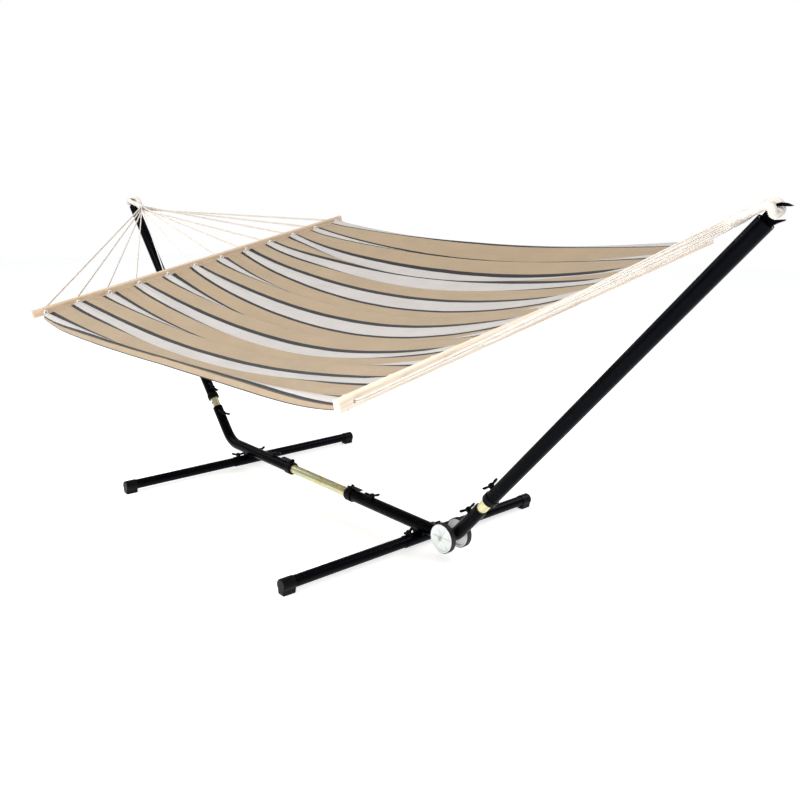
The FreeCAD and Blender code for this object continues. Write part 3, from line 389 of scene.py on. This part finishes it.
MATERIALS = {
    "frame_steel": powder_coat(), "zinc_steel": yellow_zinc(), "axle_steel": bright_zinc(),
    "black_plastic": moulded_black(), "wheel_plastic": wheel_nylon(), "tyre_rubber": tyre_rubber(),
    # the bar_wood pine, used on the near bar, is lightened by its multiplier above 1: painted light
    "bar_wood": pine("pine", (1.12, 1.14, 1.17)),
    "rope_cotton": cotton_cord("cotton_cord", (0.76, 0.70, 0.63)),
    "bed_fabric": canvas(),
}
# looks of single pieces that differ from their slot's: the whipping cord's own colour, and a darker,
# rosier copy of the pine for the far bar, which is painted shade
WHIPPING = cotton_cord("cotton_whipping", (0.72, 0.665, 0.61))
PAINTED_SHADE_LOOKS = {"far_spreader_bar": pine("pine_painted_shade", (0.86, 0.78, 0.72))}


def paint_nodes():
    for row in record["subparts"]:
        node = nodes[row["node"]]
        node.data.materials.clear()
        node.data.materials.append(PAINTED_SHADE_LOOKS.get(row["node"], MATERIALS[row["material_slot"]]))


# ---------------------------------------------------------------- meshes

def new_piece(name, vertices, faces, slot, material=None):
    """A smooth mesh that rides on the hammock's body."""
    mesh = bpy.data.meshes.new(name)
    mesh.from_pydata([tuple(v) for v in vertices], [], faces)
    mesh.validate()
    mesh.shade_smooth()
    mesh.materials.append(material or MATERIALS[slot])
    piece = bpy.data.objects.new(name, mesh)
    bpy.context.scene.collection.objects.link(piece)
    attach(piece, "hammock")
    return piece


def ring_faces(rings, sides):
    """Quads between rings of vertices, wound outwards, and one face over each end."""
    faces = []
    for i in range(rings - 1):
        for j in range(sides):
            k = (j + 1) % sides
            faces.append((i * sides + j, i * sides + k, (i + 1) * sides + k, (i + 1) * sides + j))
    faces.append(tuple(range(sides - 1, -1, -1)))
    faces.append(tuple(range((rings - 1) * sides, rings * sides)))
    return faces


def resample(line, spacing):
    """The same polyline with points evenly spaced along it."""
    run = run_along(line)
    count = max(2, int(round(run[-1] / spacing)) + 1)
    wanted = np.linspace(0, run[-1], count)
    return np.stack([np.interp(wanted, run, line[:, k]) for k in range(3)], 1)


def carried_frames(line):
    """A side and an up vector at each point, carried along the line without twist."""
    tangents = np.gradient(line, axis=0)
    tangents /= np.linalg.norm(tangents, axis=1)[:, None]
    first = np.cross(tangents[0], (0.0, 0.0, 1.0))
    if np.linalg.norm(first) < 1e-3:
        first = np.cross(tangents[0], (0.0, 1.0, 0.0))
    sides = [first / np.linalg.norm(first)]
    for tangent in tangents[1:]:
        side = sides[-1] - tangent * np.dot(sides[-1], tangent)
        sides.append(side / np.linalg.norm(side))
    sides = np.array(sides)
    return sides, np.cross(sides, tangents)


def route_line(name, points):
    """Points along the smooth spline that has the route's points as its control points."""
    curve = bpy.data.curves.new(name, "CURVE")
    curve.dimensions = "3D"
    spline = curve.splines.new("NURBS")
    spline.points.add(len(points) - 1)
    for place, point in zip(spline.points, points):
        place.co = (*point, 1)
    spline.order_u = 3
    spline.use_endpoint_u = True
    curve.resolution_u = 12
    carrier = bpy.data.objects.new(name, curve)
    bpy.context.scene.collection.objects.link(carrier)
    bpy.context.view_layer.update()
    sampled = bpy.data.meshes.new_from_object(carrier)
    line = np.array([v.co for v in sampled.vertices], float)
    bpy.data.objects.remove(carrier)
    bpy.data.curves.remove(curve)
    bpy.data.meshes.remove(sampled)
    return line


def run_along(line):
    """Length from the first point to each point."""
    steps = np.linalg.norm(np.diff(line, axis=0), axis=1)
    return np.concatenate(([0.0], np.cumsum(steps)))


def twisted_tube(line, radius, strands, pitch, sides, depth):
    """Vertices and faces of a laid cord: the section has one lobe for each strand, and turns."""
    sides_at, ups_at = carried_frames(line)
    around = np.linspace(0, TAU, sides, endpoint=False)
    turn = run_along(line)[:, None] * TAU / pitch
    lobes = 1 - depth * (1 - np.cos(strands * (around[None, :] - turn))) / 2
    vertices = (line[:, None, :]
                + (radius * lobes * np.cos(around))[..., None] * sides_at[:, None, :]
                + (radius * lobes * np.sin(around))[..., None] * ups_at[:, None, :])
    return vertices.reshape(-1, 3), ring_faces(len(line), sides)


# ---------------------------------------------------------------- ropes

EYE_ROPE = 0.0195
EYE_HALF = 0.0198
EYE_CREST = Vector((-0.015, 0, 0.0185))
EYE_FRONT = Vector((0.0055, 0, -0.0005))
THROAT = Vector((-0.8807, 0, -0.4736))
LEG_LENGTH = 0.050
THROAT_LENGTH = 0.036
THROAT_WIDE = (0.0185, 0.0148)   # half widths at the loop's end and the ropes' end
THROAT_TALL = (0.0108, 0.0128)
WINDING = 0.0030            # from one turn of the whipping cord to the next
EYE_STEP = 0.0008
STRAND = 0.004
STRAND_GAP = 0.0044
STRAND_CREST = STRAND / 2 * 1.12
STRAND_YARNS = 3
STRAND_LAY = 0.013          # length of one turn of the strand's yarns
ROPE_STEP = 0.0028
NECK_TURN = 0.0085          # radius of the rope's turn round the gathered cloth
SEAT = Vector((HOOK.x, 0, 0))
AXIS_Y = Vector((0, 1, 0))


def in_hammock(end, points):
    place = rolled(ROLL + TWIST[end]) @ END_TURN[end]
    return [place @ Vector(p) for p in points]


def rope_route(end, hole):
    """From the throat through the bar, one and a half turns round the cloth's neck, and back."""
    bar = BAR_PLACE[end]
    y = (hole - (HOLES - 1) / 2) * HOLE_PITCH
    inner = bar - BAR_THICK / 2
    mouth = Vector((bar + BAR_THICK / 2 + 0.005, y, -BAR_DROP))
    throat_end = SEAT + EYE_CREST + THROAT * (LEG_LENGTH + THROAT_LENGTH + 0.0025)
    outward = (mouth - throat_end).normalized()
    up = AXIS_Y.cross(THROAT)
    if up.z < 0:
        up = -up
    halves = []
    for strand in (1, 0):
        level = Vector((0, 0, (strand - 0.5) * STRAND_GAP / abs(THROAT.x)))
        row = up * ((hole % 3) * 2 + strand - 2.5) * STRAND_GAP
        start = throat_end + outward * 0.013 + row
        root = throat_end - THROAT * 0.012 + row * 0.72
        direction = (mouth + level - start).normalized()
        halves.append([root, start, start + direction * 0.024,
                       mouth + level - direction * 0.024, mouth + level,
                       Vector((inner - 0.001, y, -BAR_DROP)) + level])
    neck = inner - BED_GAP - 0.010
    loop = []
    for quarter, (across, rise) in enumerate(((0.3, 1), (1, 0), (0, -1), (-1, 0), (0, 1), (1, 0),
                                              (0.3, -1))):
        loop.append(Vector((neck - 0.0007 * quarter, y + NECK_TURN * across,
                            -BAR_DROP - 0.001 + NECK_TURN * rise)))
    return in_hammock(end, halves[0] + loop + halves[1][::-1])


def make_ropes(end):
    for hole in range(HOLES):
        points = rope_route(end, hole)
        name = f"{end}_rope_{hole + 1:02d}"
        line = resample(route_line(name, points), ROPE_STEP)
        vertices, faces = twisted_tube(line, STRAND_CREST, STRAND_YARNS, STRAND_LAY, 9, 0.15)
        rope = new_piece(name, vertices, faces, "rope_cotton")
        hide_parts(f"{end}_ropes")


def wound_tube(line, radii, pitch, sides, depth):
    """A tube wound closely with cord, so one ridge runs round it in a fine helix."""
    sides_at, ups_at = carried_frames(line)
    around = np.linspace(0, TAU, sides, endpoint=False)
    ridge = np.abs(np.cos((around[None, :] + run_along(line)[:, None] * TAU / pitch) / 2))
    swell = 1 - depth * (1 - ridge)
    wide, tall = radii
    vertices = (line[:, None, :]
                + (wide[:, None] * swell * np.cos(around))[..., None] * sides_at[:, None, :]
                + (tall[:, None] * swell * np.sin(around))[..., None] * ups_at[:, None, :])
    return vertices.reshape(-1, 3), ring_faces(len(line), sides)


def make_eye(end):
    """Loop over the hook and the whipped throat below it, both served with fine cord."""
    crest = SEAT + EYE_CREST
    front = SEAT + EYE_FRONT
    spread = AXIS_Y * EYE_HALF
    close = AXIS_Y * (EYE_ROPE / 2 + 0.0004)
    leg = crest + THROAT * LEG_LENGTH
    near_leg = crest + THROAT * 0.020
    side = AXIS_Y * EYE_HALF * 0.97
    bend = (crest + front) / 2 + Vector((0.007, 0, 0.008))
    points = [leg - close, near_leg - spread * 0.93, crest - side, bend - side,
              front - side, front - AXIS_Y * 0.001, front + AXIS_Y * 0.001, front + side,
              bend + side, crest + side, near_leg + spread * 0.93, leg + close]
    line = resample(route_line(f"{end}_eye_route", in_hammock(end, points)), EYE_STEP)
    radius = np.full(len(line), EYE_ROPE / 2)
    vertices, faces = wound_tube(line, (radius, radius), WINDING, 28, 0.10)
    loop = new_piece(f"{end}_rope_loop", vertices, faces, "rope_cotton", WHIPPING)
    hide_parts(f"{end}_rope_eye")
    begin, finish = LEG_LENGTH - 0.006, LEG_LENGTH + THROAT_LENGTH
    share = np.linspace(0, 1, 60)
    axis = [crest + THROAT * (begin + (finish - begin) * t) for t in share]
    belly = 1 + 0.06 * np.sin(share * math.pi)
    rounded = np.sqrt(np.clip(1 - np.clip((0.06 - np.minimum(share, 1 - share)) / 0.06, 0, 1) ** 2,
                              0.25, 1))
    wide = (THROAT_WIDE[0] + (THROAT_WIDE[1] - THROAT_WIDE[0]) * share) * belly * rounded
    tall = (THROAT_TALL[0] + (THROAT_TALL[1] - THROAT_TALL[0]) * share) * belly * rounded
    line = np.array([tuple(p) for p in in_hammock(end, axis)])
    vertices, faces = wound_tube(line, (wide, tall), WINDING, 40, 0.08)
    throat = new_piece(f"{end}_rope_whipping", vertices, faces, "rope_cotton", WHIPPING)
    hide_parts(f"{end}_rope_eye")


# ---------------------------------------------------------------- the bed

# The folds of the middle of the bed: hole each starts over, how far it lies across the cloth from
# there by the middle of the bed, and half the width of cloth that it turns away.
FOLDS = ((0, 0.000, 0.032), (1, -0.034, 0.012), (2, -0.004, 0.038), (3, -0.036, 0.012),
         (4, -0.004, 0.038), (6, -0.004, 0.038), (8, -0.035, 0.008), (9, -0.075, 0.038),
         (10, -0.004, 0.036), (11, 0.010, 0.044))
FOLD_SLOPE = 1.14
FOLD_ONSET = 0.30           # distance from a bar over which the folds take shape
GRID = (240, 470)           # points along and across the cloth
TREND = 0.13                # width over which the cloth's mean height is taken
FRONT_SAG, MIDDLE_SAG, BACK_SAG = 0.078, 0.158, 0.066


def smooth_noise(count, knots, seed):
    """A gentle random curve from -1 to 1 with that many knots."""
    values = np.random.default_rng(seed).uniform(-1, 1, knots)
    spots = np.linspace(0, knots - 1, count)
    low = np.clip(spots.astype(int), 0, knots - 2)
    t = spots - low
    t = t * t * (3 - 2 * t)
    return values[low] * (1 - t) + values[low + 1] * t


def bed_grid():
    """Points of the cloth on a grid: stations along the bed, cloth width across it."""
    far_x = -BAR_PLACE["far"] + BAR_THICK / 2 + BED_GAP
    near_x = BAR_PLACE["near"] - BAR_THICK / 2 - BED_GAP
    count_along, count_across = GRID
    even = np.linspace(0, 1, count_along)
    share = even - 0.125 * np.sin(TAU * even)  # closer stations near the bars
    cloth = np.linspace(0, CUT_WIDTH, count_across)
    step = cloth[1] - cloth[0]
    holes = FIRST_HOLE + CLOTH_PITCH * np.arange(HOLES)
    length = near_x - far_x
    wander = [smooth_noise(count_along, 7, 11 + i) for i in range(HOLES)]
    vary = [smooth_noise(count_along, 6, 41 + i) for i in range(HOLES)]
    ripple_phase = smooth_noise(count_across, 40, 77)
    reach = 240
    smooth = np.exp(-0.5 * (np.arange(-reach, reach + 1) * step / TREND) ** 2)
    span = (HOLES - 1) * HOLE_PITCH
    grid = np.zeros((count_along, count_across, 3))
    for k, u in enumerate(share):
        from_bar = min(u, 1 - u) * length
        middle = math.sin(math.pi * u) ** 0.8
        spread = 1 - math.exp(-from_bar / FOLD_ONSET)
        neck = math.exp(-((from_bar - 0.013) / 0.010) ** 2)
        ridge = 0.013 - 0.003 * neck
        angle = np.zeros(count_across)
        tucked = np.ones(count_across)
        for hole in holes:
            t = (cloth - hole) / ridge
            angle -= (0.85 + 0.25 * neck) * (1 - spread) * t * np.exp((1 - t * t) / 2)
            middle_white = np.clip((STRIPE_WHITE / 2 - np.abs(cloth - hole)) / 0.012, 0, 1)
            tucked -= 0.50 * middle_white * (1 - spread)
        tucked[cloth < holes[0]] = 1 - 0.62 * (1 - spread)
        for start, drift, half in FOLDS:
            centre = holes[start] + drift * middle + 0.005 * wander[start][k] * spread
            edges = (np.tanh((cloth - centre + half) / 0.007)
                     - np.tanh((cloth - centre - half) / 0.007)) / 2
            angle -= FOLD_SLOPE * (1 + 0.08 * vary[start][k]) * spread * edges
        ripple = 0.34 * math.exp(-from_bar / 0.12) + 0.06
        angle += ripple * np.sin(TAU * cloth / 0.027 + 4 * ripple_phase + 5 * u)
        # the border in front of the first hole hangs down
        hang = 1.40 - 0.50 * spread
        over = np.clip((holes[0] - 0.030 * spread - cloth) / 0.014, 0, 1)
        angle = hang * over + angle * (1 - over)
        cosines, sines = np.cos(angle), np.sin(angle)
        steps = step * (tucked[1:] + tucked[:-1]) / 2
        run = np.concatenate(([0.0], np.cumsum((cosines[1:] + cosines[:-1]) / 2 * steps)))
        rise = np.concatenate(([0.0], np.cumsum((sines[1:] + sines[:-1]) / 2 * steps)))
        front = np.interp(holes[0], cloth, run)
        back = np.interp(holes[-1], cloth, run)
        bow = 0.042 * middle
        y = (run - front) * (span - bow) / (back - front) - span / 2 + bow
        # the folds' heights, without the drift from one side of the bed to the other
        first = np.searchsorted(cloth, holes[0])
        level = rise.copy()
        level[:first] = rise[first]
        padded = np.concatenate((2 * level[0] - level[reach:0:-1], level,
                                 2 * level[-1] - level[-2:-reach - 2:-1]))
        height = rise - np.convolve(padded, smooth / smooth.sum(), "valid")
        v = np.clip(y / span + 0.5, 0, 1)
        sag = (FRONT_SAG * (1 - v) * (1 - 2 * v) + MIDDLE_SAG * 4 * v * (1 - v)
               + BACK_SAG * v * (2 * v - 1))
        turned = y * (TWIST["far"] * (1 - u) + TWIST["near"] * u)
        grid[k, :, 0] = far_x + length * u
        grid[k, :, 1] = y
        grid[k, :, 2] = -BAR_DROP - BED_DROP - sag * 4 * u * (1 - u) + turned + height
    return grid


def make_bed():
    grid = bed_grid()
    rows, columns = grid.shape[:2]
    place = rolled(ROLL)
    places = [place @ Vector(p) for p in grid.reshape(-1, 3)]
    faces = [(i * columns + j, (i + 1) * columns + j, (i + 1) * columns + j + 1, i * columns + j + 1)
             for i in range(rows - 1) for j in range(columns - 1)]
    bed = new_piece("hammock_cloth", places, faces, "bed_fabric")
    middle = grid[:, columns // 2]
    run = run_along(middle)
    run *= CUT_LENGTH / run[-1]
    across = np.linspace(0, CUT_WIDTH, columns)
    uv = bed.data.uv_layers.new(name="cloth")
    index = np.zeros(len(bed.data.loops), int)
    bed.data.loops.foreach_get("vertex_index", index)
    values = np.stack([run[index // columns], across[index % columns]], 1)
    uv.data.foreach_set("uv", values.ravel())
    thick = bed.modifiers.new("thickness", "SOLIDIFY")
    thick.thickness = 0.0012
    thick.offset = 0
    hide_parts("hammock_bed")


def make_floor():
    """A pale floor that glows a little, so that it runs into the white behind the object."""
    side = 14
    mesh = bpy.data.meshes.new("floor")
    mesh.from_pydata([(-side, -side, 0), (side, -side, 0), (side, side, 0), (-side, side, 0)], [],
                     [(0, 1, 2, 3)])
    floor = bpy.data.objects.new("floor", mesh)
    bpy.context.scene.collection.objects.link(floor)
    paint = Paint("floor", "floor")
    paint.shade(Base_Color=(0.86, 0.86, 0.865), Roughness=0.8, Specular_IOR_Level=0.1,
                Emission_Color=(1, 1, 1), Emission_Strength=0.62,
                Normal=paint.bump(paint.noise(300, 2), 0.02, 0.0005))
    mesh.materials.append(paint.material)


# ---------------------------------------------------------------- the scene

make_camera()
make_light()
paint_nodes()
for end in ("far", "near"):
    make_ropes(end)
    make_eye(end)
make_bed()

make_floor()
